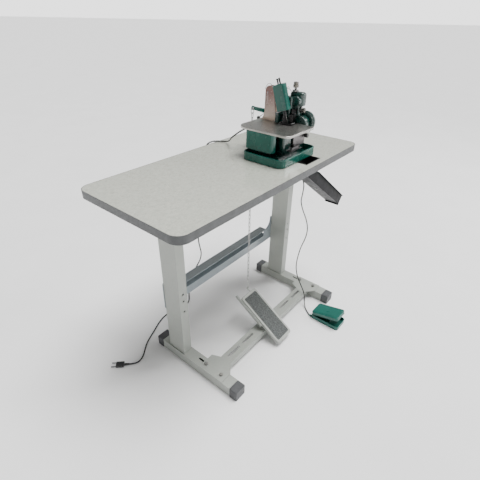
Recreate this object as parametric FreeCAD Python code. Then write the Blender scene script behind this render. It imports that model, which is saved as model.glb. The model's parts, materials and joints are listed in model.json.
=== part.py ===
import FreeCAD, Part
import math
import os

# Overlock sewing machine on its worktable, with a T-leg stand, a presser-lift treadle and a speed pedal.
# Everything is laid out in millimetres from the table top's front left corner, on its top face: +X to the
# operator's right, +Y away from the operator, +Z up.  Each sub-part is then moved so that the origin is on
# the floor, under the middle of the footprint.

V = FreeCAD.Vector
X, Y, Z = V(1, 0, 0), V(0, 1, 0), V(0, 0, 1)

# ---- driving dimensions ----
TABLE_LENGTH, TABLE_WIDTH, TABLE_HEIGHT = 1060.0, 472.0, 750.0
BOARD_THICKNESS, TABLE_CORNER, BAND = 27.0, 40.0, 2.0
FLOOR = -TABLE_HEIGHT
PEDAL_REACH = 200.0                    # how far the speed pedal stands in front of the table
FOOT_X = (172.8, 874.3)                # middle of each foot and column
FOOT_WIDTH, FOOT_HEIGHT, FOOT_FRONT, FOOT_BACK = 53.0, 43.8, -75.7, 365.0
FOOT_TOP = FLOOR + FOOT_HEIGHT
CAP_LENGTH = 35.5
COLUMN_X, COLUMN_Y0, COLUMN_Y1 = 38.6, 205.6, 291.0
TUBE_WALL, END_PLATE_LIP = 2.0, 3.2
BOLT_HEIGHTS = (-404.0, -437.0, -488.0)
BEAM_Y0, BEAM_Y1, PLATE = 29.0, 81.0, 3.0
BEAM_TOP = FOOT_TOP + PLATE
CHUTE_SLOPE = math.radians(35.5)
CHUTE_Y0, CHUTE_Y1, CHUTE_WALL, CHUTE_LENGTH, SHEET = 20.0, 90.0, 44.0, 446.0, 1.5
SCRAP_HOLE = (671.0, 768.0, 31.0, 86.0)
CHAIN_HOLE = V(667.0, 291.0, 0)
CORD_HOLE = V(785.0, 115.0, 0)
TREADLE_TILT, TREADLE_X, TREADLE_PIVOT = 32.4, 509.0, V(509, 60, -676)
CHAIN_EYE = V(525.0, 175.0, -575.0)
EYE_R, SHACKLE_WIRE, SHACKLE_LENGTH, SHACKLE_LEFT, SHACKLE_RIGHT = 4.0, 1.5, 22.0, 8.0, 5.5
LIFTER_PIVOT, LIFTER_END = V(788, 320, 132), V(706, 320, 156)
HEAD_TILT, HEAD_FOOT = 18.7, V(0, 196.3, 159.5)
HEAD_X0, HEAD_X1, HEAD_DEPTH, HEAD_HEIGHT, SHELL = 700.0, 736.0, 45.3, 94.6, 2.0
HEAD_LEFT_R, HEAD_RIGHT_R = 7.0, 15.0
NEEDLE_X, NEEDLE_A, PRESSER_X, PRESSER_A = 713.0, 27.0, 721.0, 12.0
PLATE_TOP, PLATE_THICKNESS = 118.0, 8.0
SHAFT_Y, SHAFT_Z, SHAFT_R, RUNNING = 130.0, 118.0, 6.0, 0.05
WHEEL_X0, WHEEL_R = 790.0, 40.0
BELT_X, BELT_WIDTH, BELT_THICKNESS = 794.5, 1.8, 3.4
WHEEL_GROOVE_R, PULLEY_GROOVE_R = 34.0, 10.0
MOTOR_Y, MOTOR_Z, MOTOR_R, MOTOR_X0, MOTOR_X1 = 296.0, 50.0, 30.0, 703.0, 779.0
PEDAL_HINGE_Y, PEDAL_HINGE_Z, PEDAL_OPEN = -72.0, -727.0, 14.0
MAINS_D, PEDAL_CORD_D = 6.0, 5.0

MAINS_ROUTE = [
    (680, 330, 78), (654, 331, 76), (634, 344, 62), (631, 368, 42), (654, 395, 22), (671, 423, 7),
    (665, 452, 3.9), (641, 469, 6.9), (616, 479, 4.6), (599, 487, -14), (596, 488, -50), (599, 484, -100),
    (594, 484, -164), (577, 487, -232), (559, 482, -304), (540, 480, -372), (523, 481, -436),
    (532, 481, -490), (541, 480, -532), (529, 481, -568), (503, 482, -592), (480, 484, -624),
    (462, 482, -664), (447, 484, -702), (436, 476, -732), (417, 456, -746.7), (380, 446, -746.7),
    (334, 464, -746.7), (286, 472, -746.7), (236, 462, -746.7), (186, 437, -746.7), (145, 418, -746.7),
    (112, 402, -746.7), (86, 381, -746.7), (62, 360, -746.7), (35, 346, -746.7), (11, 349, -745.4),
    (-6, 363, -743.2)]
PEDAL_ROUTE = [
    (785, 115, -48), (786, 115, -78), (796, 110, -112), (806, 103, -148), (803, 104, -186), (800, 107, -222),
    (807, 98, -262), (821, 82, -308), (831, 71, -360), (827, 74, -412), (816, 87, -462), (811, 94, -514),
    (808, 97, -566), (811, 92, -612), (811, 76, -648), (803, 52, -672), (793, 33, -685), (783, 17, -704),
    (772, 9, -726), (760, -3, -744), (747, -17, -747.2), (735, -32, -746.4), (722, -50, -744.5)]


# ---- shape helpers ----
def block(x0, x1, y0, y1, z0, z1):
    return Part.makeBox(x1 - x0, y1 - y0, z1 - z0, V(x0, y0, z0))


def rounded(x0, x1, y0, y1, z0, z1, radius):
    """A block whose upright edges are rounded."""
    solid = block(x0, x1, y0, y1, z0, z1)
    uprights = [e for e in solid.Edges if abs(e.tangentAt(e.FirstParameter).z) > 0.99]
    return solid.makeFillet(radius, uprights)


def soften(solid, radius, z):
    """Round the edges that lie at height z."""
    rim = [e for e in solid.Edges if abs(e.BoundBox.ZMin - z) < 0.01 and abs(e.BoundBox.ZMax - z) < 0.01]
    return solid.makeFillet(radius, rim)


def rod(base, axis, radius, length):
    return Part.makeCylinder(radius, length, base, axis)


def cone(base, axis, radius0, radius1, length):
    return Part.makeCone(radius0, radius1, length, base, axis)


def tube(base, axis, outer, inner, length):
    return rod(base, axis, outer, length).cut(rod(base, axis, inner, length))


def bar(start, end, radius):
    return rod(start, end - start, radius, (end - start).Length)


def prism(points, along):
    return Part.Face(Part.makePolygon(points + [points[0]])).extrude(along)


def join(shapes):
    return shapes[0].multiFuse(shapes[1:]).removeSplitter()


def group(shapes):
    return Part.makeCompound(shapes)


def hex_prism(centre, axis, across_flats, height):
    side = Y if abs(axis.z) > 0.5 else Z
    other = axis.cross(side)
    reach = across_flats / math.sqrt(3)
    turns = [k * math.pi / 3 for k in range(6)]
    corners = [centre + side * (reach * math.cos(t)) + other * (reach * math.sin(t)) for t in turns]
    return prism(corners, axis * height)


def bolt(seat, axis, shank_radius, shank_length):
    """Washer and hexagon head standing on a seat, with the shank going back into it."""
    washer = rod(seat, axis, shank_radius * 2.1, 1.4)
    head = hex_prism(seat + axis * 1.4, axis, shank_radius * 3.2, shank_radius * 1.3)
    return join([washer, head, rod(seat - axis * shank_length, axis, shank_radius, shank_length + 1.0)])


def lathe(profile, base):
    """Turn (along, radius) pairs about the X axis through base."""
    points = [V(base.x + along, base.y, base.z + radius) for along, radius in profile]
    face = Part.Face(Part.makePolygon(points + [points[0]]))
    return face.revolve(base, X, 360)


# ---- table ----
def table():
    top, bottom = 0.0, -BOARD_THICKNESS
    outline = rounded(0, TABLE_LENGTH, 0, TABLE_WIDTH, bottom, top, TABLE_CORNER)
    board = rounded(BAND, TABLE_LENGTH - BAND, BAND, TABLE_WIDTH - BAND, bottom, top, TABLE_CORNER - BAND)
    band = outline.cut(board)
    x0, x1, y0, y1 = SCRAP_HOLE
    openings = [block(x0, x1, y0, y1, bottom, top), rod(CHAIN_HOLE + Z * bottom, Z, 17, BOARD_THICKNESS),
                rod(CORD_HOLE + Z * bottom, Z, 10, BOARD_THICKNESS)]
    for hole in openings:
        board = board.cut(hole)
    collar = block(x0, x1, y0, y1, -38, 0).fuse(block(x0 - 3, x1 + 3, y0 - 3, y1 + 3, 0, 1))
    liner = collar.cut(block(x0 + 2, x1 - 2, y0 + 2, y1 - 2, -45, 2)).removeSplitter()
    bushing = tube(CHAIN_HOLE + Z * (bottom - 2), Z, 17, 15, BOARD_THICKNESS + 2)
    bushing = join([bushing, tube(CHAIN_HOLE, Z, 20, 15, 1.2)])
    gland = join([rod(CORD_HOLE + Z * bottom, Z, 10, BOARD_THICKNESS + 2),
                  rod(CORD_HOLE + Z * (bottom - 3), Z, 14, 3),
                  cone(CORD_HOLE + Z * -48, Z, 3.6, 7, 48 + bottom - 3)])
    return {"table_top": board, "edge_band": band, "scrap_hole_liner": liner,
            "chain_bushing": bushing, "pedal_cord_gland": gland}


# ---- stand ----
def foot(x):
    half, wall = FOOT_WIDTH / 2 - 1.6, TUBE_WALL
    y0, y1, z0 = FOOT_FRONT + CAP_LENGTH, FOOT_BACK - CAP_LENGTH, FLOOR + 3
    shell = block(x - half, x + half, y0, y1, z0, FOOT_TOP)
    shell = shell.cut(block(x - half + wall, x + half - wall, y0, y1, z0 + wall, FOOT_TOP - wall))
    slot = rounded(x + 0.2, x + 8.2, 114, 146, FOOT_TOP - 4, FOOT_TOP + 1, 3.9)
    return shell.cut(slot)


def end_cap(x, y0, y1, plug_y0, plug_y1):
    cap = block(x - FOOT_WIDTH / 2, x + FOOT_WIDTH / 2, y0, y1, FLOOR, FOOT_TOP + 0.6)
    cap = cap.makeChamfer(2.5, [e for e in cap.Edges if e.BoundBox.ZMax > FLOOR + 1])
    inset = FOOT_WIDTH / 2 - 1.6 - TUBE_WALL - 0.2
    plug = block(x - inset, x + inset, plug_y0, plug_y1, FLOOR + 5.2, FOOT_TOP - TUBE_WALL - 0.2)
    return cap.fuse(plug).removeSplitter()


def column(x):
    half = COLUMN_X / 2
    shell = block(x - half, x + half, COLUMN_Y0, COLUMN_Y1, FOOT_TOP, -BOARD_THICKNESS - 4)
    inner = block(x - half + TUBE_WALL, x + half - TUBE_WALL, COLUMN_Y0 + TUBE_WALL, COLUMN_Y1 - TUBE_WALL,
                  FOOT_TOP, -BOARD_THICKNESS - 4)
    shell = shell.cut(inner)
    for z in BOLT_HEIGHTS:
        shell = shell.cut(rod(V(x, COLUMN_Y0 - 1, z), Y, 4.5, COLUMN_Y1 - COLUMN_Y0 + 2))
    head_plate = rounded(x - 35, x + 35, 90, 390, -BOARD_THICKNESS - 4, -BOARD_THICKNESS, 8)
    for y in (110, 170, 330, 370):
        head_plate = head_plate.cut(rod(V(x, y, -BOARD_THICKNESS - 5), Z, 3.2, 6))
    return shell.fuse(head_plate).removeSplitter()


def crossbar():
    """A pressed channel behind the columns: face, ledge, web, roof and back, with flared end plates."""
    x0, x1, y0 = FOOT_X[0] + 57, FOOT_X[1] - 57, COLUMN_Y1
    t = 2.5
    pieces = [block(x0, x1, y0, y0 + t, -510, -473), block(x0, x1, y0, y0 + 27.5, -473 - t, -473),
              block(x0, x1, y0 + 25, y0 + 27.5, -473, -444), block(x0, x1, y0, y0 + 41, -444 - t, -444),
              block(x0, x1, y0 + 38.5, y0 + 41, -510, -444)]
    for x, side in ((FOOT_X[0], 1), (FOOT_X[1], -1)):
        edge = x - side * (COLUMN_X / 2 + END_PLATE_LIP)
        neck, toe = V(x + side * 30, y0, -384), V(x + side * 78, y0, -444)
        corners = [toe, V(toe.x, y0, -509), V(edge + side * 3, y0, -509), V(edge, y0, -503),
                   V(edge, y0, -391), V(edge + side * 3, y0, -384), neck]
        flare = Part.Arc(neck, V(x + side * 41, y0, -424), toe).toShape()
        end = Part.Face(Part.Wire([flare] + Part.makePolygon(corners).Edges)).extrude(Y * t)
        for z in BOLT_HEIGHTS:
            end = end.cut(rod(V(x, y0 - 1, z), Y, 4.5, t + 2))
        pieces.append(end)
    return join(pieces)


def treadle_beam():
    """Flat-topped channel across the feet, flared and bolted at both ends, slotted for the treadle."""
    (left, right), mid = FOOT_X, (BEAM_Y0 + BEAM_Y1) / 2
    top = [V(left - 25, -2, FOOT_TOP), V(left + 26, -2, FOOT_TOP), V(left + 62, BEAM_Y0, FOOT_TOP),
           V(right - 62, BEAM_Y0, FOOT_TOP), V(right - 26, -2, FOOT_TOP), V(right + 25, -2, FOOT_TOP),
           V(right + 25, 116, FOOT_TOP), V(right - 48, 116, FOOT_TOP), V(right - 64, BEAM_Y1, FOOT_TOP),
           V(left + 64, BEAM_Y1, FOOT_TOP), V(left + 48, 116, FOOT_TOP), V(left - 25, 116, FOOT_TOP)]
    inner0, inner1 = left + FOOT_WIDTH / 2 + 2, right - FOOT_WIDTH / 2 - 2
    middle = block(inner0, inner1, BEAM_Y0, BEAM_Y1, BEAM_TOP - PLATE - 0.5, BEAM_TOP)
    channel = [prism(top, Z * PLATE), middle]
    for y in (BEAM_Y0, BEAM_Y1 - PLATE):
        channel.append(block(inner0, inner1, y, y + PLATE, FOOT_TOP - 24, BEAM_TOP))
    beam = join(channel)
    for x0, x1 in ((260, 328), (352, 420), (634, 699), (728, 795)):
        beam = beam.cut(rounded(x0, x1, mid - 1, mid + 10, FOOT_TOP - 1, BEAM_TOP + 1, 4.5))
    for x, y in beam_bolt_spots():
        beam = beam.cut(rod(V(x, y, FOOT_TOP - 1), Z, 4.0, PLATE + 2))
    return beam


def beam_bolt_spots():
    return [(x, y) for x in FOOT_X for y in (22, 101)]


def stand():
    trough, screws = chute_and_screws()
    left, right = foot(FOOT_X[0]), foot(FOOT_X[1])
    caps = []
    for x in FOOT_X:
        caps.append(end_cap(x, FOOT_FRONT, FOOT_FRONT + CAP_LENGTH, FOOT_FRONT + CAP_LENGTH - 1,
                            FOOT_FRONT + CAP_LENGTH + 12))
        caps.append(end_cap(x, FOOT_BACK - CAP_LENGTH, FOOT_BACK, FOOT_BACK - CAP_LENGTH - 12,
                            FOOT_BACK - CAP_LENGTH + 1))
    bolts = [bolt(V(x, y, BEAM_TOP), Z, 4.0, PLATE) for x, y in beam_bolt_spots()]
    bolts += [bolt(V(x, COLUMN_Y1 + 2.5, z), Y, 4.5, 2.5) for x in FOOT_X for z in BOLT_HEIGHTS]
    return {"left_foot": left, "right_foot": right, "foot_end_caps": group(caps),
            "left_column": column(FOOT_X[0]), "right_column": column(FOOT_X[1]), "crossbar": crossbar(),
            "treadle_beam": treadle_beam(), "scrap_chute": trough, "fasteners": group(bolts + screws)}


# ---- scrap chute ----
def chute_and_screws():
    """Open trough that falls to the right under the scrap hole, hemmed and screwed under the table."""
    under = -BOARD_THICKNESS
    down = V(math.cos(CHUTE_SLOPE), 0, -math.sin(CHUTE_SLOPE))
    up = V(math.sin(CHUTE_SLOPE), 0, math.cos(CHUTE_SLOPE))
    start = V(647, CHUTE_Y0, under)
    end = start + down * CHUTE_LENGTH
    rim_end = end + up * CHUTE_WALL
    rim_start = rim_end - down * ((under - rim_end.z) / math.sin(CHUTE_SLOPE))
    width = CHUTE_Y1 - CHUTE_Y0
    inside = start + X * (SHEET / math.sin(CHUTE_SLOPE))
    floor_panel = prism([start, end, end + up * SHEET, inside], Y * width)
    wall = [start, end, rim_end, rim_start]
    front_wall = prism(wall, Y * SHEET)
    back_wall = prism([p + Y * (width - SHEET) for p in wall], Y * SHEET)
    lip = prism([end - down * SHEET, end, end - up * 6, end - down * SHEET - up * 6], Y * width)
    hem_low = rim_start + down * 36
    hem = [hem_low - up * SHEET, hem_low, rim_end, rim_end - up * SHEET]
    front_hem = prism([p - Y * 6 for p in hem], Y * 6.5)
    back_hem = prism([p + Y * (width - 0.5) for p in hem], Y * 6.5)
    flanges = [block(651, 722, CHUTE_Y0 - 13, CHUTE_Y0 + 0.5, under - SHEET, under),
               block(651, 722, CHUTE_Y1 - 0.5, CHUTE_Y1 + 13, under - SHEET, under)]
    body = join([floor_panel, front_wall, back_wall, lip, front_hem, back_hem] + flanges)
    spots = [V(x, y, under - SHEET) for x in (665, 708) for y in (CHUTE_Y0 - 6.5, CHUTE_Y1 + 6.5)]
    screws = []
    for spot in spots:
        body = body.cut(rod(spot - Z, Z, 2.0, 4))
        screws.append(join([rod(spot - Z * 2.4, Z, 4.2, 2.4), rod(spot - Z, Z, 2.0, SHEET + 1)]))
    rivet_spot = start + down * 225 + V(0, width / 2, 0)
    body = body.cut(rod(rivet_spot - up * 2, up, 2.5, 6))
    screws.append(join([rod(rivet_spot - up * 2, up, 4.5, 2), rod(rivet_spot - up, up, 2.5, SHEET + 1)]))
    return body, screws


# ---- treadle that lifts the presser foot ----
def on_treadle(solid):
    """Take a shape from the treadle's own flat frame, +Y along it towards the back, to its place."""
    solid.rotate(V(0, 0, 0), X, TREADLE_TILT)
    solid.translate(V(TREADLE_X, 60, -650))
    return solid


def treadle():
    half, front, back, depth = 49.0, -134.0, 118.0, 14.0
    pan = rounded(-half, half, front, back, -depth, 0, 13)
    pan = soften(pan, 2.0, 0)
    pan = pan.cut(rounded(-half + 9, half - 9, front + 12, back - 12, -3, 1, 7))
    pan = pan.cut(rounded(-half + 2.5, half - 2.5, front + 2.5, back - 2.5, -depth - 1, -5.5, 10.5))
    eye_x = CHAIN_EYE.x - TREADLE_X
    eye_tab = rounded(eye_x - 3, eye_x + 3, back - 8, back + 20, -5.5, -2.5, 2.5)
    frame = join([on_treadle(join([pan, eye_tab])), rod(CHAIN_EYE - X * 3, X, EYE_R, 6)])
    frame = frame.cut(rod(CHAIN_EYE - X * 9, X, SHACKLE_WIRE + RUNNING, 18))
    lugs = []
    for x in (TREADLE_X - 25, TREADLE_X + 22):
        lug = rod(V(x, TREADLE_PIVOT.y, TREADLE_PIVOT.z), X, 8, 3)
        neck = on_treadle(block(x - TREADLE_X, x - TREADLE_X + 3, -21, 6, -24, -5))
        lugs.append(lug.fuse(neck))
    frame = join([frame] + lugs).cut(rod(TREADLE_PIVOT - X * 60, X, 4 + RUNNING, 120))
    mat = rounded(-half + 9.2, half - 9.2, front + 12.2, back - 12.2, -3, 0.6, 6.8)
    mat = soften(mat, 0.5, 0.6)
    mat = on_treadle(mat)
    arm = rounded(-half - 5.2, -half - 0.2, -30, 141, -22, -6, 2)
    for y in (50.8, 131):
        arm = arm.cut(rod(V(-half - 6, y, -14), X, 3.6, 8))
    for y in (-20, 20):
        arm = arm.fuse(rod(V(-half - 8, y, -11), X, 4.5, 3))
    arm = on_treadle(arm)
    ears = [block(x, x + 3, 47, 73, BEAM_TOP + PLATE - 1, -668) for x in (TREADLE_X - 31, TREADLE_X + 28)]
    base = rounded(TREADLE_X - 42, TREADLE_X + 42, 38, 78, BEAM_TOP, BEAM_TOP + PLATE, 5)
    bracket = join([base] + ears).cut(rod(TREADLE_PIVOT - X * 60, X, 4, 120))
    pin = join([rod(TREADLE_PIVOT - X * 34, X, 4, 68), rod(TREADLE_PIVOT - X * 36, X, 6.5, 2.2)])
    return {"treadle_frame": frame, "treadle_mat": mat, "treadle_arm": arm, "treadle_bracket": bracket,
            "pedal_pins": group([pin, rod(speed_pedal_line(), X, 2.5, 70)])}


def chain_link(pitch, half_width, wire, overlap):
    """One oval link standing along +Z from 0 to pitch, in the XZ plane, reaching a little past each end."""
    low, high = -overlap + half_width, pitch + overlap - half_width
    sides = [rod(V(x, 0, low), Z, wire, high - low) for x in (-half_width, half_width)]
    top = Part.makeTorus(half_width, wire, V(0, 0, high), Y, 0, 360)
    bottom = Part.makeTorus(half_width, wire, V(0, 0, low), Y, 0, 360)
    reach = half_width + wire + 1
    top = top.common(block(-reach, reach, -reach, reach, high, high + reach))
    bottom = bottom.common(block(-reach, reach, -reach, reach, low - reach, low))
    return join(sides + [top, bottom])


def lift_chain():
    """Shackle pinned through the treadle's eye, a run of small links, and the long hook link on top."""
    wire, overlap, half_width, count = 1.3, 1.4, 3.6, 42
    hook_pitch = 20.0
    line = LIFTER_END - CHAIN_EYE
    along = V(line)
    along.normalize()
    pin = rod(CHAIN_EYE - X * (SHACKLE_LEFT + 2.5), X, SHACKLE_WIRE, SHACKLE_LEFT + SHACKLE_RIGHT + 5)
    top = CHAIN_EYE + along * SHACKLE_LENGTH
    legs = [bar(CHAIN_EYE + X * side, top, SHACKLE_WIRE) for side in (-SHACKLE_LEFT, SHACKLE_RIGHT)]
    shackle = join([pin, Part.makeSphere(SHACKLE_WIRE * 1.3, top)] + legs)
    pitch = (line.Length - hook_pitch - SHACKLE_LENGTH) / count
    small = chain_link(pitch, half_width, wire, overlap)
    turn = FreeCAD.Rotation(Z, line)
    links = []
    for k in range(count):
        link = small.copy()
        link.rotate(V(0, 0, 0), Z, 90 * (k % 2))
        link.translate(V(0, 0, pitch * k))
        links.append(link)
    hook = chain_link(hook_pitch - overlap, 6.2, wire, overlap)
    hook.rotate(V(0, 0, 0), Z, 90)
    hook.translate(V(0, 0, pitch * count))
    links.append(hook)
    for link in links:
        link.Placement = FreeCAD.Placement(top, turn).multiply(link.Placement)
    return {"lift_chain": group([shackle] + links)}


# ---- machine: tray, body and plate ----
def lower_machine():
    pads = [rod(V(x, y, 0), Z, 7, 2) for x, y in ((588, 102), (785, 94), (588, 236), (782, 236))]
    tray = soften(rounded(559, 808, 70, 257, 2, 32, 28), 2.5, 32)
    tray = tray.cut(rounded(565, 802, 76, 251, 8, 33, 22))
    plinth = rounded(600, 788, 118, 244, 8, 22, 8)
    walls = [block(600, 786, 240, 248, 20, 110), block(780, 788, 122, 242, 20, 110),
             block(600, 606, 152, 242, 20, 110), rounded(640, 696, 118, 148, 20, 110, 10),
             block(690, 782, 122, 128, 20, 40)]
    deck = block(600, 788, 118, 248, 104, 110).cut(block(700, 757, 132, 216, 103, 111))
    shaft_room = rod(V(763, SHAFT_Y, SHAFT_Z), X, 22, 26)
    foot_web = block(757, 788, 104, 122, 97, 110)
    body = join([plinth] + walls + [deck, foot_web]).cut(shaft_room)
    cover = soften(rounded(580, 652, 131, 256, 40, 108, 12), 2.0, 108)
    cover = cover.cut(rounded(582, 660, 133, 254, 38, 106, 10))
    cover = cover.cut(block(604, 660, 120, 152, 30, 112)).cut(block(632, 660, 120, 260, 30, 112))
    cover = cover.cut(block(599, 660, 150, 249, 30, 112)).cut(block(599, 660, 120, 249, 103, 112))
    panel = rounded(697, 779, 112, 117.5, 42, 96, 2)
    for x, z in ((704, 50), (772, 50), (738, 90)):
        panel = panel.fuse(rod(V(x, 112, z), Y * -1, 3.4, 1.6))
    scrap_guide = join([block(664, 716, 98, 117.6, 34, 35.5), block(664, 716, 96.5, 98, 34, 50),
                        prism([V(664, 98, 35), V(664, 98, 50), V(664, 117, 35)], X * 1.5)])
    return {"tray_pads": group(pads), "base_tray": tray, "machine_body": body, "left_cover": cover,
            "front_panel": panel, "scrap_guide": scrap_guide}


def plates():
    top, bottom = PLATE_TOP, PLATE_TOP - PLATE_THICKNESS
    plate = block(575, 757, 60, 295, bottom, top)
    corners = {(575, 60): 20, (757, 60): 14, (575, 295): 42, (757, 295): 24}
    for (x, y), radius in corners.items():
        spot = V(x, y, bottom + PLATE_THICKNESS / 2)
        upright = [e for e in plate.Edges if e.BoundBox.Center.distanceToPoint(spot) < 0.1]
        plate = plate.makeFillet(radius, upright)
    plate = soften(plate, 2.5, top)
    plate = plate.cut(block(697, 760, 138, 212, bottom - 1, top + 1))
    throat = block(697.2, 757, 138.2, 211.8, bottom, top)
    throat = throat.cut(rounded(711.5, 714.5, 141, 160, bottom - 1, top + 1, 1.4))
    for x in (707, 716.5, 722):
        throat = throat.cut(rounded(x, x + 3, 166, 198, bottom - 1, top + 1, 1.4))
    throat = throat.cut(block(728.4, 733.2, 138, 170, bottom - 1, top + 1))
    dogs = [block(705, 727, 174, 190, 92, 98)]
    for x in (707.4, 716.9, 722.4):
        dogs.append(block(x, x + 2.2, 171, 193, 96, top))
        for k in range(7):
            y = 172 + k * 3.0
            tooth = prism([V(x, y, top), V(x, y + 2.4, top), V(x, y + 0.4, top + 1.0)], X * 2.2)
            dogs.append(tooth)
    blade = [V(728.7, 142, 119), V(728.7, 166, 119), V(728.7, 160, 86), V(728.7, 146, 86)]
    lower_knife = prism(blade, X * 1.8)
    return {"cloth_plate": plate, "throat_plate": throat, "feed_dog": join(dogs), "lower_knife": lower_knife}


# ---- machine: upper casting and head ----
def in_head(solid):
    """Take a shape from the head's upright frame (X, -A forward, B up) to its leaning place."""
    solid.rotate(V(0, 0, 0), X, -HEAD_TILT)
    solid.translate(HEAD_FOOT)
    return solid


def hood(x0, x1, y0, y1, z0, z1, left_radius, right_radius):
    """A block whose two front upright edges are rounded, each with its own radius."""
    solid = block(x0, x1, y0, y1, z0, z1)
    mid_z = (z0 + z1) / 2
    for spot, radius in ((V(x0, y0, mid_z), left_radius), (V(x1, y0, mid_z), right_radius)):
        upright = [e for e in solid.Edges if e.BoundBox.Center.distanceToPoint(spot) < 0.1]
        solid = solid.makeFillet(radius, upright)
    return solid


def upper_machine():
    """Casting: domed head on a narrow neck, gear case round the shaft, and the arm to the needle head."""
    crown, dome_foot = 227, 178
    dome = rounded(764, 798, 129, 190, dome_foot, crown, 12)
    dome = dome.makeFillet(10, [e for e in dome.Edges if e.BoundBox.ZMin > crown - 0.1])
    dome = dome.makeFillet(4, [e for e in dome.Edges if e.BoundBox.ZMax < dome_foot + 0.1])
    neck = rounded(762, 787, 138, 190, 110, dome_foot + 4, 8)
    apron = rounded(757.2, 788, 101, 196, 110, 124, 6)
    rear = rounded(766, 790, 173, 196, 110, 148, 5)
    drum = rod(V(750, 152, 197), X, 18.5, 20)
    drum = drum.makeFillet(3.5, [e for e in drum.Edges if e.BoundBox.XMax < 750.1])
    bridge = rounded(737, 768, 160, 189, 172, 212, 6)
    shoulder = rounded(737, 764, 166, 206, 119, 176, 5)
    presser_arm = rounded(698, 740, 192.5, 206, 121, 158, 4)
    gear_case = rod(V(757, SHAFT_Y, SHAFT_Z), X, 27, 31)
    gear_case = gear_case.makeFillet(3, [e for e in gear_case.Edges if e.BoundBox.XMax < 757.1])
    gear_case = gear_case.cut(block(750, 810, 80, 170, 80, 110))
    frame = in_head(rounded(704.5, 731, -34, -6, 4, 84, 3))
    tie = in_head(block(728, 743, -28, -8, 6, 48))
    boss = rod(V(LIFTER_PIVOT.x, 191, LIFTER_PIVOT.z), Y, 8.5, 35)
    masses = [neck, apron, rear, gear_case, dome, drum, bridge, shoulder, presser_arm, frame, tie]
    casting = join(masses).fuse(boss)
    casting = casting.cut(rod(V(763, SHAFT_Y, SHAFT_Z), X, 21, 21))
    casting = casting.cut(rod(V(760, SHAFT_Y, SHAFT_Z), X, SHAFT_R + RUNNING, 60))
    casting = casting.cut(rod(V(LIFTER_PIVOT.x, 170, LIFTER_PIVOT.z), Y, 5 + RUNNING, 70))
    casting = casting.cut(in_head(rod(V(NEEDLE_X, -NEEDLE_A, 0), Z, 3.2 + RUNNING, 100)))
    casting = casting.cut(in_head(rod(V(PRESSER_X, -PRESSER_A, 0), Z, 3.2 + RUNNING, 100)))
    cover = hood(HEAD_X0, HEAD_X1, -HEAD_DEPTH, 0, 0, HEAD_HEIGHT, HEAD_LEFT_R, HEAD_RIGHT_R)
    cover = soften(cover, 3.5, HEAD_HEIGHT)
    ceiling = HEAD_HEIGHT - SHELL
    hollow = hood(HEAD_X0 + SHELL, HEAD_X1 - SHELL, SHELL - HEAD_DEPTH, -SHELL, -1, ceiling,
                  HEAD_LEFT_R - SHELL, HEAD_RIGHT_R - SHELL)
    cover = cover.cut(soften(hollow, 2.0, ceiling))
    cover = cover.cut(block(HEAD_X1 - SHELL - 1, HEAD_X1 + 1, -30, 1, -1, 54))
    for x, a in ((NEEDLE_X, NEEDLE_A), (PRESSER_X, PRESSER_A)):
        cover = cover.cut(rod(V(x, -a, HEAD_HEIGHT - 4), Z, 4.0, 8))
    return {"arm_casting": casting, "head_cover": in_head(cover)}


def needle_and_presser():
    needle_bar = rod(V(NEEDLE_X, -NEEDLE_A, -9), Z, 3.2, HEAD_HEIGHT + 9 + 21)
    clamp = join([rod(V(NEEDLE_X, -NEEDLE_A, -20), Z, 4.6, 11),
                  rod(V(NEEDLE_X - 9, -NEEDLE_A, -15), X, 1.6, 8)])
    needle = join([rod(V(NEEDLE_X, -NEEDLE_A, -38), Z, 1.0, 19),
                   cone(V(NEEDLE_X, -NEEDLE_A, -46), Z, 0.2, 0.8, 9)])
    clamp = clamp.cut(rod(V(NEEDLE_X, -NEEDLE_A, -24), Z, 1.0, 5))
    bar_top = HEAD_HEIGHT + 20
    presser = join([rod(V(PRESSER_X, -PRESSER_A, -36), Z, 3.2, 36 + bar_top - 4),
                    cone(V(PRESSER_X, -PRESSER_A, bar_top - 6), Z, 3.2, 5.4, 6)])
    shoe = in_head(join([rod(V(PRESSER_X, -PRESSER_A, -38), Z, 6.5, 20),
                         block(PRESSER_X - 7, PRESSER_X + 7, -18, -5, -41, -24)]))
    sole = block(706, 727, 142, 184, PLATE_TOP + 1.4, PLATE_TOP + 3.6)
    sole = sole.makeFillet(3, [e for e in sole.Edges if abs(e.tangentAt(0).z) > 0.9])
    toe = prism([V(706, 142.2, PLATE_TOP + 1.4), V(706, 142.2, PLATE_TOP + 3.6),
                 V(706, 134, PLATE_TOP + 7.5), V(706, 133, PLATE_TOP + 6)], X * 21)
    web = block(715, 719, 165, 180, PLATE_TOP + 3, PLATE_TOP + 8)
    foot_piece = join([sole, toe, web, shoe])
    foot_piece = foot_piece.cut(rounded(710.8, 715.2, 148, 164, PLATE_TOP, PLATE_TOP + 6, 2))
    presser_bore = in_head(rod(V(PRESSER_X, -PRESSER_A, -36), Z, 3.2, 22))
    foot_piece = foot_piece.cut(presser_bore)
    return {"needle_bar": group([in_head(needle_bar), in_head(clamp)]), "needle": in_head(needle),
            "presser_bar": in_head(presser), "presser_foot": foot_piece}


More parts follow.
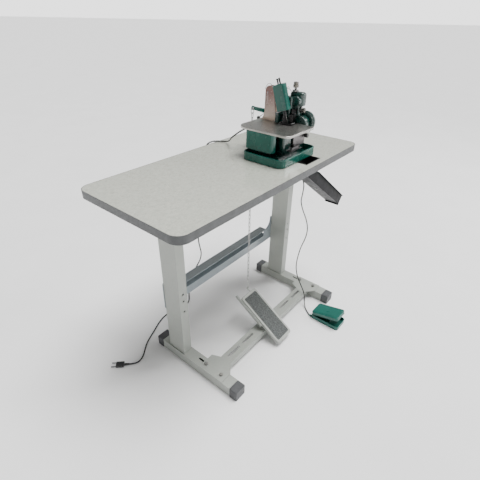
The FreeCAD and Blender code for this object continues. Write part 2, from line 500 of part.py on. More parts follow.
def cutting_and_looping():
    """Upper knife in front of the throat plate's slot, and the two loopers in the space under it."""
    upper_knife = join([block(731.0, 732.8, 144, 162, PLATE_TOP + 5, PLATE_TOP + 30),
                        block(732.8, 746, 145, 161, PLATE_TOP + 14, PLATE_TOP + 32),
                        rod(V(739, 145, PLATE_TOP + 23), Y * -1, 4.5, 3),
                        block(744, 756, 146, 160, PLATE_TOP + 16, PLATE_TOP + 52)])
    lower_looper = join([bar(V(664, 190, 40), V(664, 190, 76), 4),
                         bar(V(664, 190, 76), V(676, 170, 92), 2.6),
                         bar(V(676, 170, 92), V(700, 163, 95), 1.8)])
    upper_looper = join([bar(V(746, 196, 40), V(746, 196, 70), 4),
                         bar(V(746, 196, 70), V(740, 174, 92), 2.6),
                         bar(V(740, 174, 92), V(720, 166, 98), 1.8)])
    return {"upper_knife": upper_knife, "lower_looper": lower_looper, "upper_looper": upper_looper}


# ---- drive ----
def drive():
    centre = V(0, SHAFT_Y, SHAFT_Z)
    shaft = join([rod(V(765, 0, 0) + centre, X, SHAFT_R, 54), rod(V(767, 4, 0) + centre, X, 12, 8)])
    bore = SHAFT_R + RUNNING / 10
    profile = [(0, bore), (0, 15), (2, 15), (3, 27), (0, 30), (0, 38), (2, 38), (3.4, WHEEL_GROOVE_R),
               (5.6, WHEEL_GROOVE_R), (7, 38), (9, 38), (9, 37), (11, 37), (12, WHEEL_R - 0.5),
               (14, WHEEL_R), (21, WHEEL_R), (24, WHEEL_R - 2), (26, WHEEL_R - 7), (20, WHEEL_R - 9),
               (11, 26), (11, 15), (24, 13), (26, 11), (26, bore)]
    wheel = lathe(profile, V(WHEEL_X0, 0, 0) + centre)
    motor = rod(V(MOTOR_X0, MOTOR_Y, MOTOR_Z), X, MOTOR_R, MOTOR_X1 - MOTOR_X0)
    motor = motor.makeFillet(5, motor.Edges[:1] + motor.Edges[2:3])
    for k in range(24):
        angle = 2 * math.pi * k / 24
        groove = V(MOTOR_X0 + 22, MOTOR_Y + MOTOR_R * math.cos(angle), MOTOR_Z + MOTOR_R * math.sin(angle))
        motor = motor.cut(rod(groove, X, 1.1, 46))
    terminal_box = soften(rounded(707, 747, 318, 342, 60, 88, 3), 1.5, 88)
    motor = motor.fuse(terminal_box)
    shaft_hole = rod(V(MOTOR_X1 - 12, MOTOR_Y, MOTOR_Z), X, 4 + RUNNING, 14)
    motor = motor.cut(shaft_hole)
    pulley_profile = [(0, 4), (0, 12), (2, 14), (3.2, 14), (4.4, PULLEY_GROOVE_R),
                      (6.6, PULLEY_GROOVE_R), (7.8, 14), (9, 14), (9, 7), (13, 7), (13, 4)]
    pulley = lathe(pulley_profile, V(BELT_X - 5.5, MOTOR_Y, MOTOR_Z))
    pulley = join([pulley, rod(V(MOTOR_X1 - 11, MOTOR_Y, MOTOR_Z), X, 4, 33)])
    bracket = join([block(712, 786, 248, 253, 33, 104), block(732, 764, 252, 270, 34, 66),
                    tube(V(736, MOTOR_Y, MOTOR_Z), X, MOTOR_R + 3, MOTOR_R, 24)])
    bracket = bracket.cut(rod(V(700, MOTOR_Y, MOTOR_Z), X, MOTOR_R, 90))
    bracket = bracket.cut(block(730, 770, 317.5, 343, 59.5, 90))
    gland = join([cone(V(680, 330, 78), X, 3.6, 6, 25), rod(V(704, 330, 78), X, 7.5, 3)])
    return {"main_shaft": shaft, "handwheel": wheel, "motor": motor, "motor_pulley": pulley,
            "motor_bracket": bracket, "mains_cord_gland": gland, "drive_belt": belt()}


def belt():
    """Open belt round the wheel's groove and the motor pulley, in the YZ plane."""
    gap = 0.3
    big, small = V(BELT_X, SHAFT_Y, SHAFT_Z), V(BELT_X, MOTOR_Y, MOTOR_Z)
    big_r, small_r = WHEEL_GROOVE_R + gap, PULLEY_GROOVE_R + gap
    along = small - big
    lean = math.asin((big_r - small_r) / along.Length)
    heading = math.atan2(along.z, along.y)

    def loop(extra):
        points = []
        x = BELT_X - BELT_WIDTH / 2
        for centre, radius in ((big, big_r + extra), (small, small_r + extra)):
            for side in (1, -1):
                angle = heading + side * (math.pi / 2 - lean)
                points.append(V(x, centre.y + radius * math.cos(angle), centre.z + radius * math.sin(angle)))
        reach = V(0, math.cos(heading), math.sin(heading))
        far_big = big - reach * (big_r + extra)
        far_small = small + reach * (small_r + extra)
        far_big.x = far_small.x = x
        edges = [Part.Arc(points[0], far_big, points[1]).toShape(), Part.makeLine(points[1], points[3]),
                 Part.Arc(points[3], far_small, points[2]).toShape(), Part.makeLine(points[2], points[0])]
        return Part.Face(Part.Wire(edges)).extrude(X * BELT_WIDTH)
    return loop(BELT_THICKNESS).cut(loop(0))


# ---- thread parts, knobs and guard ----
def thread_parts():
    posts, knobs = [], {}
    for name, seat, axis, stand_off, grip, knob_r in (
            ("top_tension_knob", V(774, 170, 227), Z, 15, 19, 9.5),
            ("front_tension_knob", V(771, 138, 166), Y * -1, 10.5, 8, 8.2)):
        disc = 12 if grip > 10 else 10.5
        spring = stand_off - 7.8
        posts.append(join([rod(seat, axis, 5, 3), rod(seat, axis, 2.4, stand_off + grip + 1.5),
                           rod(seat + axis * 2.5, axis, disc, 1.0), rod(seat + axis * 4.4, axis, disc, 1.0),
                           rod(seat + axis * 2, axis, 6, 4)]))
        for k in range(3):
            posts.append(Part.makeTorus(4.4, 0.7, seat + axis * (6.9 + spring * (k + 0.3) / 3.2), axis))
        knob = [tube(seat + axis * stand_off, axis, knob_r, 2.4 + RUNNING, grip)]
        waist = seat + axis * (stand_off + grip * 0.55)
        knob[0] = knob[0].cut(tube(waist, axis, knob_r + 2, knob_r - 2.2, grip * 0.14))
        for k in range(14):
            ridge = seat + axis * (stand_off + 0.5) + direction_round(axis, 360 * k / 14) * knob_r
            knob.append(rod(ridge, axis, 0.9, grip * 0.5))
        knobs[name] = join(knob)
    stitch = join([rod(V(775, 111.8, 74), Y * -1, 3.2, 4), rod(V(775, 108, 74), Y * -1, 8.5, 12)])
    stitch = stitch.makeFillet(2, [e for e in stitch.Edges if e.BoundBox.YMax < 96.1])
    knobs["stitch_knob"] = stitch
    arc = Part.makeTorus(24, 0.9, V(678, 226, 236), Y, 0, 360).common(block(650, 699.8, 220, 232, 244, 270))
    guides = [join([arc, bar(V(698.6, 226, 248.3), V(699.4, 221, 246), 0.9)])]
    for start, end, eye in ((V(770, 178, 222), V(752, 184, 238), V(749, 187, 241)),
                            (V(766, 103.5, 104), V(766, 92, 98), V(766, 88.6, 96.6))):
        guides.append(join([bar(start, end, 0.9), Part.makeTorus(4, 0.9, eye, X)]))
    knobs["tension_posts"] = group(posts)
    knobs["thread_guides"] = group(guides)
    knobs["rear_guard"] = rear_guard()
    return knobs


def direction_round(axis, degrees):
    side = X
    other = axis.cross(side)
    angle = math.radians(degrees)
    return side * math.cos(angle) + other * math.sin(angle)


def guard_outline(x, inset):
    """Obelisk with a rounded head, broad at the foot, seen along X."""
    foot0, foot1, neck0, neck1, waist = 214 + inset, 285 - inset, 230 + inset, 269 - inset, 150
    crown, shoulder = 246 - inset, 228
    base = PLATE_TOP if inset == 0 else PLATE_TOP + 2
    middle = (neck0 + neck1) / 2
    left = Part.makeLine(V(x, foot0, base), V(x, neck0, shoulder))
    head = Part.Arc(V(x, neck0, shoulder), V(x, middle, crown), V(x, neck1, shoulder)).toShape()
    right = Part.makeLine(V(x, neck1, shoulder), V(x, neck1 + 1, waist))
    flare = Part.Arc(V(x, neck1 + 1, waist), V(x, neck1 + 4.5, 134), V(x, foot1, base)).toShape()
    bottom = Part.makeLine(V(x, foot1, base), V(x, foot0, base))
    return Part.Face(Part.Wire([left, head, right, flare, bottom]))


def rear_guard():
    shell = guard_outline(718, 0).extrude(X * 20).cut(guard_outline(720, 2).extrude(X * 20))
    slot = block(717, 721, 256, 262, 178, 224)
    return shell.cut(slot)


def lifter():
    """Cross shaft with the chain lever and the short hand lever on its back end."""
    centre, end = LIFTER_PIVOT, LIFTER_END + X * 1.7
    shaft = join([rod(V(centre.x, 176, centre.z), Y, 5, 318 - 176),
                  rod(V(centre.x, 226.3, centre.z), Y, 7.5, 3)])
    along = end - centre
    along.normalize()
    across = V(-along.z, 0, along.x)
    start = V(centre.x, 317, centre.z)
    tip = V(end.x, 317, end.z)
    web = prism([start + across * 9, start - across * 9, tip - across * 7, tip + across * 7], Y * 5)
    lever = join([web, rod(start, Y, 9, 5), rod(tip, Y, 8, 5)])
    lever = lever.cut(rod(tip - Y, Y, 4.9, 8)).cut(rod(start - Y, Y, 5, 3))
    hub = V(centre.x, 308, centre.z)
    knob_spot = V(733, 308, 115)
    hand = join([rod(hub - Y * 3, Y, 8, 6), bar(hub, knob_spot, 2.4)]).cut(rod(hub - Y * 5, Y, 5, 12))
    knob = Part.makeSphere(7.6, knob_spot).cut(bar(hub, knob_spot, 2.4))
    return {"lifter_shaft": group([shaft, hand]), "lifter_lever": lever, "hand_lever_knob": knob}


# ---- speed pedal ----
def speed_pedal_line():
    return V(720, PEDAL_HINGE_Y, PEDAL_HINGE_Z)


def speed_pedal():
    base = rounded(715, 795, -PEDAL_REACH, -64, FLOOR, FLOOR + 19, 11)
    base = base.cut(rounded(718, 792, -PEDAL_REACH + 3, -67, FLOOR + 3, FLOOR + 20, 8))
    ears = [block(x, x + 4, -77, -70.2, FLOOR + 2, PEDAL_HINGE_Z + 5) for x in (724, 782)]
    pin_line = speed_pedal_line()
    switch = rounded(738, 772, -150, -96, FLOOR + 2, FLOOR + 15, 3)
    boot = cone(V(722, -64.5, FLOOR + 5.6), Y, 5.0, 3.0, 14.5)
    base = join([base, switch, boot] + ears).cut(rod(pin_line, X, 2.5, 70))
    plate = rounded(716, 794, -198, -66, -727, -711, 10)
    plate = soften(plate, 2.5, -711)
    plate = plate.cut(rounded(719, 791, -195, -69, -728, -714, 7))
    pad = soften(rounded(724, 786, -190, -80, -711.5, -709.8, 6), 1.0, -709.8)
    lugs = [join([rod(V(x, PEDAL_HINGE_Y, PEDAL_HINGE_Z), X, 5, 5), block(x, x + 5, -77, -68, -727, -713)])
            for x in (730, 775)]
    plate = join([plate, pad] + lugs).cut(rod(pin_line, X, 2.5 + RUNNING, 70))
    plate.rotate(V(0, PEDAL_HINGE_Y, PEDAL_HINGE_Z), X, -PEDAL_OPEN)
    return {"speed_pedal_base": base, "speed_pedal_plate": plate}


# ---- cords ----
def cord_tube(name, route, diameter):
    """Straight runs joined by tangent arcs, each arc as large as its two runs allow."""
    points = [V(*p) for p in route]
    edges, radii, at = [], [], points[0]
    for before, corner, after in zip(points, points[1:], points[2:]):
        arrive, leave = corner - before, after - corner
        run = min(arrive.Length, leave.Length)
        turn = arrive.getAngle(leave)
        radii.append(0.45 * run / math.tan(turn / 2))
        arrive.normalize()
        leave.normalize()
        first, last = corner - arrive * (0.45 * run), corner + leave * (0.45 * run)
        inward = leave - arrive
        inward.normalize()
        sag = radii[-1] / math.cos(turn / 2) - radii[-1]
        edges += [Part.makeLine(at, first), Part.Arc(first, corner + inward * sag, last).toShape()]
        at = last
    edges.append(Part.makeLine(at, points[-1]))
    path = Part.Wire(edges)
    ring = Part.Wire(Part.makeCircle(diameter / 2, points[0], points[1] - points[0]))
    solid = path.makePipeShell([ring], True, False)
    print(name, "length", round(path.Length), "smallest bend radius", round(min(radii), 1))
    return solid


def cords():
    back = V(*MAINS_ROUTE[-1])
    heading = V(-0.70, 0.714, 0)
    relief = cone(back, heading, 3.6, 5.6, 24)
    body = block(0, 31, -12.5, 12.5, -6.5, 6.5)
    body = body.makeFillet(4.5, [e for e in body.Edges if abs(e.tangentAt(0).x) > 0.9])
    pins = [rod(V(30.5, y, 0), X, 2.0, 19.5) for y in (-9.5, 9.5)]
    plug = body.fuse(pins)
    plug.rotate(V(0, 0, 0), Z, math.degrees(math.atan2(heading.y, heading.x)))
    plug.translate(back + heading * 22)
    return {"mains_cord": cord_tube("mains cord", MAINS_ROUTE, MAINS_D), "mains_plug": join([relief, plug]),
            "pedal_cord": cord_tube("pedal cord", PEDAL_ROUTE, PEDAL_CORD_D)}


def main():
    os.makedirs("parts", exist_ok=True)
    nodes = {}
    for build in (table, stand, treadle, lift_chain, lower_machine, plates, upper_machine,
                  needle_and_presser, cutting_and_looping, drive, thread_parts, lifter, speed_pedal, cords):
        nodes.update(build())
    to_origin = V(-TABLE_LENGTH / 2, (PEDAL_REACH - TABLE_WIDTH) / 2, TABLE_HEIGHT)
    for name, shape in nodes.items():
        shape.translate(to_origin)
        if not shape.isValid() or shape.Volume <= 0:
            print("CHECK", name, shape.isValid(), shape.Volume)
        shape.exportStep("parts/%s.step" % name)
    print(len(nodes), "nodes")


main()
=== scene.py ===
import json
import math

import bpy
from mathutils import Matrix, Vector


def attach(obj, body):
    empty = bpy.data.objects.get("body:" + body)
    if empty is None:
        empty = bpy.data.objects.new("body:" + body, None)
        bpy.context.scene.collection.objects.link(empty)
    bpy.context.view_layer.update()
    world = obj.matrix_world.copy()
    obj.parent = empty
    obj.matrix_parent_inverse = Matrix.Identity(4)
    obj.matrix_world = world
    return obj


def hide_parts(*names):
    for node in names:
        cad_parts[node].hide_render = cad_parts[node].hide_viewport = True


# Overlock sewing machine on its worktable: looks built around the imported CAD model, in metres.

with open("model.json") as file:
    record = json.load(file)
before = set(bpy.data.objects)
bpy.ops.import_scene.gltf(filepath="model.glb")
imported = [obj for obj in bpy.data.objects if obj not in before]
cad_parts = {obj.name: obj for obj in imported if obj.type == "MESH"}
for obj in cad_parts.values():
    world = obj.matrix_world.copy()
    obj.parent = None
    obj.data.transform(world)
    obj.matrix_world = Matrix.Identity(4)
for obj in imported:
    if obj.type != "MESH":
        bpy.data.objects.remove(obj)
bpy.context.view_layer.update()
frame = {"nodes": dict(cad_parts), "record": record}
MM = 0.001
ROOT = "stand_and_machine"


def place(x, y, z):
    """A point measured in mm from the table top's front left corner, in the part's frame in metres."""
    return Vector(((x - 530) * MM, (y - 136) * MM, (z + 750) * MM))


# ---- camera ----
CAMERA_AT = (-1.0227, -0.7294, 1.2289)
CAMERA_YAW, CAMERA_PITCH, CAMERA_ROLL = 38.82, 32.15, 1.11
CAMERA_LENS, SENSOR = 27.2, 36.0


def make_camera():
    yaw, pitch, roll = (math.radians(a) for a in (CAMERA_YAW, CAMERA_PITCH, CAMERA_ROLL))
    ahead = math.cos(pitch)
    forward = Vector((math.cos(yaw) * ahead, math.sin(yaw) * ahead, -math.sin(pitch)))
    level = Vector((math.sin(yaw), -math.cos(yaw), 0))
    right = level * math.cos(roll) + level.cross(forward) * math.sin(roll)
    up = right.cross(forward)
    data = bpy.data.cameras.new("camera")
    data.lens, data.sensor_width, data.sensor_fit = CAMERA_LENS, SENSOR, "HORIZONTAL"
    data.clip_start, data.clip_end = 0.05, 60
    camera = bpy.data.objects.new("camera", data)
    bpy.context.scene.collection.objects.link(camera)
    turn = Matrix((right, up, -forward)).transposed().to_4x4()
    camera.matrix_world = Matrix.Translation(CAMERA_AT) @ turn
    bpy.context.scene.camera = camera


make_camera()


# ---- cords ----
MAINS_ROUTE = [
    (680, 330, 78), (654, 331, 76), (634, 344, 62), (631, 368, 42), (654, 395, 22), (671, 423, 7),
    (665, 452, 3.9), (641, 469, 6.9), (616, 479, 4.6), (599, 487, -14), (596, 488, -50), (599, 484, -100),
    (594, 484, -164), (577, 487, -232), (559, 482, -304), (540, 480, -372), (523, 481, -436),
    (532, 481, -490), (541, 480, -532), (529, 481, -568), (503, 482, -592), (480, 484, -624),
    (462, 482, -664), (447, 484, -702), (436, 476, -732), (417, 456, -746.7), (380, 446, -746.7),
    (334, 464, -746.7), (286, 472, -746.7), (236, 462, -746.7), (186, 437, -746.7), (145, 418, -746.7),
    (112, 402, -746.7), (86, 381, -746.7), (62, 360, -746.7), (35, 346, -746.7), (11, 349, -745.4),
    (-6, 363, -743.2)]
PEDAL_ROUTE = [
    (785, 115, -48), (786, 115, -78), (796, 110, -112), (806, 103, -148), (803, 104, -186), (800, 107, -222),
    (807, 98, -262), (821, 82, -308), (831, 71, -360), (827, 74, -412), (816, 87, -462), (811, 94, -514),
    (808, 97, -566), (811, 92, -612), (811, 76, -648), (803, 52, -672), (793, 33, -685), (783, 17, -704),
    (772, 9, -726), (760, -3, -744), (747, -17, -747.2), (735, -32, -746.4), (722, -50, -744.5)]


def cord_curve(name, route, diameter):
    """A round NURBS tube through the route.  The bevel is 1 m, so each point's radius is the cord's own."""
    data = bpy.data.curves.new(name, "CURVE")
    data.dimensions = "3D"
    data.bevel_depth, data.bevel_resolution, data.use_fill_caps = 1.0, 5, True
    spline = data.splines.new("NURBS")
    spline.points.add(len(route) - 1)
    for point, spot in zip(spline.points, route):
        point.co = (*place(*spot), 1)
        point.radius = diameter / 2
    spline.order_u, spline.use_endpoint_u, spline.resolution_u = 3, True, 10
    piece = bpy.data.objects.new(name, data)
    bpy.context.scene.collection.objects.link(piece)
    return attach(piece, ROOT)


mains = cord_curve("mains_flex", MAINS_ROUTE, 0.006)
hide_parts("mains_cord")
pedal_flex = cord_curve("pedal_flex", PEDAL_ROUTE, 0.005)
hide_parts("pedal_cord")


# ---- materials ----
class Look:
    """One node material: a Principled shader with helpers for procedural detail in object space."""

    def __init__(self, name, roughness=0.4, metallic=0.0, coat=0.0, coat_roughness=0.05, specular=0.5):
        self.material = bpy.data.materials.new(name)
        self.material.use_nodes = True
        self.nodes, self.links = self.material.node_tree.nodes, self.material.node_tree.links
        self.shader = self.nodes["Principled BSDF"]
        self.set("Roughness", roughness)
        self.set("Metallic", metallic)
        self.set("Coat Weight", coat)
        self.set("Coat Roughness", coat_roughness)
        self.set("Specular IOR Level", specular)
        self.space = self.nodes.new("ShaderNodeTexCoord").outputs["Object"]

    def set(self, socket, value):
        self.shader.inputs[socket].default_value = value

    def node(self, kind, inputs):
        node = self.nodes.new(kind)
        for key, value in inputs.items():
            if hasattr(value, "links"):
                self.links.new(value, node.inputs[key])
            else:
                node.inputs[key].default_value = value
        return node

    def stretched(self, scale):
        return self.node("ShaderNodeMapping", {"Vector": self.space, "Scale": scale}).outputs["Vector"]

    def noise(self, scale, detail=3.0, roughness=0.55, vector=None, distortion=0.0):
        settings = {"Vector": vector or self.space, "Scale": scale, "Detail": detail,
                    "Roughness": roughness, "Distortion": distortion}
        return self.node("ShaderNodeTexNoise", settings).outputs["Fac"]

    def cells(self, scale):
        return self.node("ShaderNodeTexVoronoi", {"Vector": self.space, "Scale": scale}).outputs["Distance"]

    def remap(self, value, low, high, to_low=0.0, to_high=1.0):
        return self.node("ShaderNodeMapRange", {"Value": value, "From Min": low, "From Max": high,
                                                "To Min": to_low, "To Max": to_high}).outputs["Result"]

    def math(self, kind, a, b):
        node = self.nodes.new("ShaderNodeMath")
        node.operation = kind
        for socket, value in zip(node.inputs, (a, b)):
            if hasattr(value, "links"):
                self.links.new(value, socket)
            else:
                socket.default_value = value
        return node.outputs["Value"]

    def ramp(self, value, stops):
        """Colour ramp from (position, linear colour) stops."""
        node = self.nodes.new("ShaderNodeValToRGB")
        self.links.new(value, node.inputs["Fac"])
        elements = node.color_ramp.elements
        while len(elements) < len(stops):
            elements.new(0.5)
        for element, (position, colour) in zip(elements, stops):
            element.position, element.color = position, (*colour, 1)
        return node.outputs["Color"]

    def mix(self, factor, a, b):
        node = self.nodes.new("ShaderNodeMix")
        node.data_type = "RGBA"
        for socket, value in zip((node.inputs[0], node.inputs[6], node.inputs[7]), (factor, a, b)):
            if hasattr(value, "links"):
                self.links.new(value, socket)
            else:
                socket.default_value = value if isinstance(value, float) else (*value, 1)
        return node.outputs[2]

    def colour(self, value):
        self.links.new(value, self.shader.inputs["Base Color"])

    def roughness(self, value):
        self.links.new(value, self.shader.inputs["Roughness"])

    def bump(self, height, strength, distance):
        before = self.shader.inputs["Normal"].links
        node = self.node("ShaderNodeBump", {"Height": height, "Strength": strength, "Distance": distance})
        if before:
            self.links.new(before[0].from_socket, node.inputs["Normal"])
        self.links.new(node.outputs["Normal"], self.shader.inputs["Normal"])


def srgb(red, green, blue):
    def linear(v):
        v /= 255
        return v / 12.92 if v <= 0.04045 else ((v + 0.055) / 1.055) ** 2.4
    return tuple(linear(v) for v in (red, green, blue))


def scaled(colour, factor):
    return tuple(c * factor for c in colour)


def enamel(name, base, orange_peel=0.12, dark=0.8, light=1.12, roughness=0.22):
    """Stoved enamel: slightly uneven colour and gloss, orange peel and a thin clear coat."""
    look = Look(name, coat=0.25, coat_roughness=0.12, specular=0.35)
    look.colour(look.ramp(look.noise(14, 4), [(0.3, scaled(base, dark)), (0.7, scaled(base, light))]))
    look.roughness(look.remap(look.noise(45, 3), 0.3, 0.7, roughness * 0.75, roughness * 1.4))
    look.bump(look.noise(300, 2), orange_peel * 0.5, 0.0002)
    look.bump(look.noise(40, 2), orange_peel * 0.5, 0.0004)
    return look.material


def casting(name, base):
    """Enamel over a sand casting: the coarse grain shows through."""
    look = Look(name, coat=0.8, coat_roughness=0.08)
    look.colour(look.ramp(look.noise(22, 5), [(0.32, scaled(base, 0.6)), (0.68, scaled(base, 1.3))]))
    look.roughness(look.remap(look.noise(70, 3), 0.3, 0.7, 0.2, 0.42))
    look.bump(look.noise(220, 3, 0.6), 0.2, 0.0003)
    look.bump(look.noise(48, 3), 0.3, 0.0014)
    return look.material


def powder_coat(name, base, grain=0.3, coat=0.15, coat_roughness=0.3):
    """Powder coat on tube: fine pebbling, faint smudges and slight tone changes."""
    look = Look(name, coat=coat, coat_roughness=coat_roughness)
    shade = look.ramp(look.noise(5, 4), [(0.3, scaled(base, 0.93)), (0.7, scaled(base, 1.05))])
    smudge = look.remap(look.noise(28, 5, 0.65), 0.56, 0.74, 0.0, 0.3)
    look.colour(look.mix(smudge, shade, scaled(base, 0.72)))
    look.roughness(look.remap(look.noise(90, 2), 0.3, 0.7, 0.34, 0.5))
    look.bump(look.noise(900, 2), grain, 0.00025)
    look.bump(look.noise(120, 3), grain * 0.5, 0.0005)
    return look.material


def metal(name, base, roughness=0.25, brushed=None, scratches=0.3):
    """Bare or plated metal.  brushed is the scale of the brushing along each axis."""
    look = Look(name, metallic=1.0)
    look.colour(look.ramp(look.noise(30, 4), [(0.3, scaled(base, 0.82)), (0.7, base)]))
    grain_space = look.stretched(brushed) if brushed else look.space
    grain = look.noise(400 if not brushed else 60, 3, 0.6, grain_space)
    look.roughness(look.remap(grain, 0.3, 0.7, roughness * 0.7, roughness * 1.5))
    look.bump(grain, scratches, 0.0002)
    return look.material


def moulded(name, base, roughness=0.45, grain=900, strength=0.25, coat=0.0):
    """Moulded plastic or rubber with a spark-eroded grain."""
    look = Look(name, coat=coat, coat_roughness=0.15)
    look.colour(look.ramp(look.noise(35, 4), [(0.3, scaled(base, 0.8)), (0.7, scaled(base, 1.2))]))
    look.roughness(look.remap(look.noise(120, 3), 0.3, 0.7, roughness * 0.8, min(roughness * 1.25, 1)))
    look.bump(look.noise(grain, 3, 0.6), strength, 0.0003)
    return look.material


def laminate():
    """High-gloss laminate printed with a fine cloudy fleck; bare chipboard on the underside."""
    look = Look("laminate", coat=1.0, coat_roughness=0.03)
    look.set("Coat IOR", 1.75)
    base, dark, light = srgb(192, 194, 182), srgb(168, 171, 160), srgb(208, 209, 198)
    fleck = look.noise(330, 4, 0.65, distortion=0.6)
    blotch = look.noise(90, 4, 0.6, distortion=0.8)
    threads = look.noise(160, 2, 0.5, look.stretched((0.35, 2.2, 1)))
    pattern = look.math("ADD", look.math("MULTIPLY", fleck, 0.45), look.math("MULTIPLY", blotch, 0.35))
    pattern = look.math("ADD", pattern, look.math("MULTIPLY", threads, 0.2))
    printed = look.ramp(pattern, [(0.36, dark), (0.47, base), (0.6, light)])
    normal = look.nodes["Texture Coordinate"].outputs["Normal"]
    facing = look.node("ShaderNodeSeparateXYZ", {"Vector": normal}).outputs["Z"]
    underside = look.remap(facing, -0.6, -0.7)
    chip_dark, chip_light = srgb(150, 146, 136), srgb(186, 183, 174)
    chips = look.ramp(look.noise(240, 5, 0.75), [(0.35, chip_dark), (0.65, chip_light)])
    look.colour(look.mix(underside, printed, chips))
    look.roughness(look.remap(look.noise(12, 4), 0.3, 0.7, 0.11, 0.2))
    look.bump(look.noise(700, 2), 0.05, 0.0002)
    return look.material


SMOKE_FROM, SMOKE_FULL, SMOKE_CLOUDING = 0.9, 0.985, 0.04


def smoke_guard():
    """Translucent plastic, pale below and smoky brown near its top edge, with dust and fine scratches."""
    look = Look("guard_plastic", coat=0.5)
    look.set("Transmission Weight", 0.35)
    look.set("IOR", 1.46)
    haze = look.noise(24, 4)
    pale = look.ramp(haze, [(0.3, srgb(202, 182, 164)), (0.7, srgb(218, 200, 184))])
    height = look.node("ShaderNodeSeparateXYZ", {"Vector": look.space}).outputs["Z"]
    cloudy_height = look.math("ADD", height, look.math("MULTIPLY", haze, SMOKE_CLOUDING))
    smoke = look.remap(cloudy_height, SMOKE_FROM, SMOKE_FULL)
    look.colour(look.mix(smoke, pale, srgb(120, 72, 60)))
    look.roughness(look.remap(look.noise(180, 3), 0.35, 0.7, 0.12, 0.3))
    look.bump(look.noise(90, 2, 0.5, look.stretched((1, 1, 6))), 0.08, 0.0003)
    return look.material


def chute_black():
    """Black paint on sheet steel, scuffed where trimmings slide."""
    look = Look("chute_black", specular=0.05)
    shade = look.ramp(look.noise(18, 4), [(0.3, (0.006, 0.006, 0.007)), (0.7, (0.016, 0.016, 0.018))])
    scuff = look.remap(look.noise(70, 5, 0.7, look.stretched((0.3, 3, 0.3))), 0.6, 0.75, 0.0, 0.25)
    look.colour(look.mix(scuff, shade, (0.04, 0.04, 0.042)))
    look.roughness(look.remap(look.noise(50, 4), 0.3, 0.7, 0.28, 0.48))
    look.bump(look.noise(500, 2), 0.12, 0.0003)
    return look.material


def belt_rubber():
    """Dull black rubber with a fine cloth-like grain."""
    look = Look("belt_rubber", roughness=0.6)
    look.colour(look.ramp(look.noise(200, 4), [(0.3, (0.012, 0.012, 0.012)), (0.7, (0.03, 0.03, 0.03))]))
    look.bump(look.noise(600, 3), 0.3, 0.0003)
    return look.material


def mat_rubber():
    """Sprayed anti-slip rubber: grey fleck over close pebbling, with painted shade darkening the pebbling's
    hollows.
    """
    look = Look("mat_rubber_look", roughness=0.75, specular=0.3)
    pebbles = look.cells(560)
    dark, base, light = srgb(48, 51, 51), srgb(78, 81, 80), srgb(114, 117, 116)
    tone = look.ramp(look.noise(380, 4, 0.7), [(0.38, dark), (0.5, base), (0.64, light)])
    # Painted shade: the hollows of the pebbling are darkened towards srgb(34, 37, 37).
    look.colour(look.mix(look.remap(pebbles, 0.0, 0.5, 0.45, 0.0), tone, srgb(34, 37, 37)))
    look.bump(pebbles, 0.7, 0.0008)
    look.bump(look.noise(60, 3), 0.3, 0.001)
    return look.material


GREEN, DEEP_GREEN, PEDAL_GREEN = (0.004, 0.088, 0.066), (0.002, 0.03, 0.023), (0.003, 0.092, 0.07)
STAND_GREY, CROSSBAR_GREY = (0.335, 0.352, 0.322), (0.27, 0.31, 0.335)
LENGTHWISE, ACROSS, ROUND_THE_AXLE = (1.0, 14.0, 1.0), (10.0, 1.0, 1.0), (14.0, 1.0, 1.0)
looks = {
    "tabletop_laminate": laminate(),
    "edge_band_pvc": moulded("edge_band_look", (0.055, 0.058, 0.06), 0.42, 500, 0.15, 0.1),
    "frame_paint": powder_coat("stand_paint", STAND_GREY),
    "cap_plastic": moulded("cap_look", srgb(70, 71, 73), 0.5, 700, 0.4),
    "zinc_steel": metal("zinc_look", (0.42, 0.42, 0.41), 0.3),
    "chute_paint": chute_black(),
    "mat_rubber": mat_rubber(),
    "black_rubber": belt_rubber(),
    "black_plastic": moulded("black_look", (0.012, 0.012, 0.012), 0.3, 600, 0.15, 0.3),
    "green_enamel": enamel("green_enamel_look", GREEN),
    "dark_green_casting": casting("dark_green_look", DEEP_GREEN),
    "plate_steel": metal("plate_look", (0.44, 0.43, 0.405), 0.31, LENGTHWISE, 0.22),
    "panel_steel": metal("panel_look", (0.2, 0.185, 0.19), 0.34, ACROSS, 0.25),
    "dark_steel": metal("dark_steel_look", (0.075, 0.075, 0.075), 0.28),
    "polished_steel": metal("polished_look", (0.3, 0.29, 0.28), 0.2),
    "knob_nickel": metal("nickel_look", (0.16, 0.148, 0.13), 0.22),
    "motor_black": enamel("motor_look", (0.014, 0.014, 0.015), 0.25, 0.7, 1.6, 0.3),
    "pulley_aluminium": metal("aluminium_look", (0.6, 0.6, 0.61), 0.3, ROUND_THE_AXLE),
    "guard_smoke": smoke_guard(),
    "pedal_plastic": enamel("pedal_look", PEDAL_GREEN, 0.2, 0.85, 1.1, 0.35),
    "cord_pvc": moulded("cord_look", (0.01, 0.01, 0.01), 0.38, 900, 0.1),
}
# The crossbar is glossier and bluer than the rest of the stand.
crossbar_paint = powder_coat("crossbar_paint", CROSSBAR_GREY, 0.15, 0.8, 0.12)
slot_of = {part["node"]: part["material_slot"] for part in frame["record"]["subparts"]}


def dress(piece, material):
    piece.data.materials.clear()
    piece.data.materials.append(material)


for node, obj in frame["nodes"].items():
    for slot in obj.material_slots:
        slot.material = looks[slot_of[node]]
for slot in frame["nodes"]["crossbar"].material_slots:
    slot.material = crossbar_paint
dress(mains, looks["cord_pvc"])
dress(pedal_flex, looks["cord_pvc"])


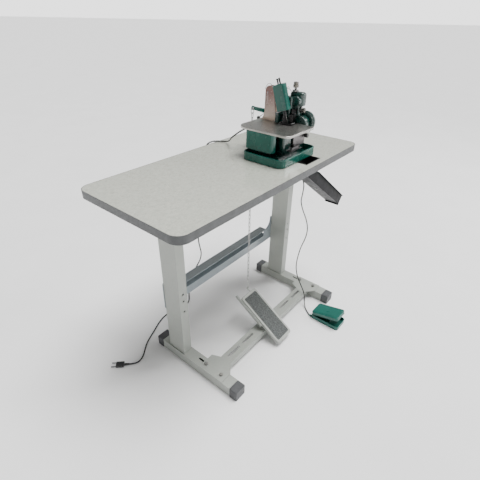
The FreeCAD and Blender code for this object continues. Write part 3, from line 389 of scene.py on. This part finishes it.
# ---- floor, light and sky ----
FLOOR_SIZE = 400
SKY_LEVEL, SKY_STRENGTH = 0.13, 2.4
BAND_TOP, SKY_FROM = 0.05, 0.16
MACHINE = (0.19, 0.03, 0.93)


def make_stage():
    bpy.ops.mesh.primitive_plane_add(size=FLOOR_SIZE, location=(0, 0, 0))
    floor = bpy.context.object
    floor.name = "floor"
    look = Look("floor_look", roughness=0.7, specular=0.2)
    look.colour(look.ramp(look.noise(3, 2), [(0.3, (0.9, 0.9, 0.9)), (0.7, (0.93, 0.93, 0.93))]))
    dress(floor, look.material)


def add_light(name, kind, at, target, energy, **settings):
    data = bpy.data.lights.new(name, kind)
    data.energy = energy
    for key, value in settings.items():
        setattr(data, key, value)
    light = bpy.data.objects.new(name, data)
    bpy.context.scene.collection.objects.link(light)
    light.location = at
    light.rotation_euler = (Vector(target) - Vector(at)).to_track_quat("-Z", "Y").to_euler()


def make_sky():
    """Even sky, with a white band along the horizon like a studio's curved backdrop."""
    world = bpy.data.worlds.new("sky")
    bpy.context.scene.world = world
    world.use_nodes = True
    nodes, links = world.node_tree.nodes, world.node_tree.links
    heading = nodes.new("ShaderNodeTexCoord").outputs["Generated"]
    split = nodes.new("ShaderNodeSeparateXYZ")
    links.new(heading, split.inputs["Vector"])
    ramp = nodes.new("ShaderNodeValToRGB")
    links.new(split.outputs["Z"], ramp.inputs["Fac"])
    band, above = ramp.color_ramp.elements
    band.position, band.color = BAND_TOP, (1, 1, 1, 1)
    above.position, above.color = SKY_FROM, (SKY_LEVEL, SKY_LEVEL, SKY_LEVEL, 1)
    links.new(ramp.outputs["Color"], nodes["Background"].inputs["Color"])
    nodes["Background"].inputs["Strength"].default_value = SKY_STRENGTH


make_stage()
make_sky()
add_light("overhead", "SUN", at=(0.9, -0.5, 4.0), target=(0.1, 0, 0.6), energy=5.0, angle=math.radians(36))
add_light("side", "AREA", at=(3.0, -1.7, 2.5), target=MACHINE, energy=45, shape="SQUARE", size=0.9)
add_light("strip", "AREA", at=(0.75, -3.0, 1.05), target=MACHINE, energy=14, shape="RECTANGLE", size=0.14,
          size_y=1.4)

bpy.context.view_layer.update()
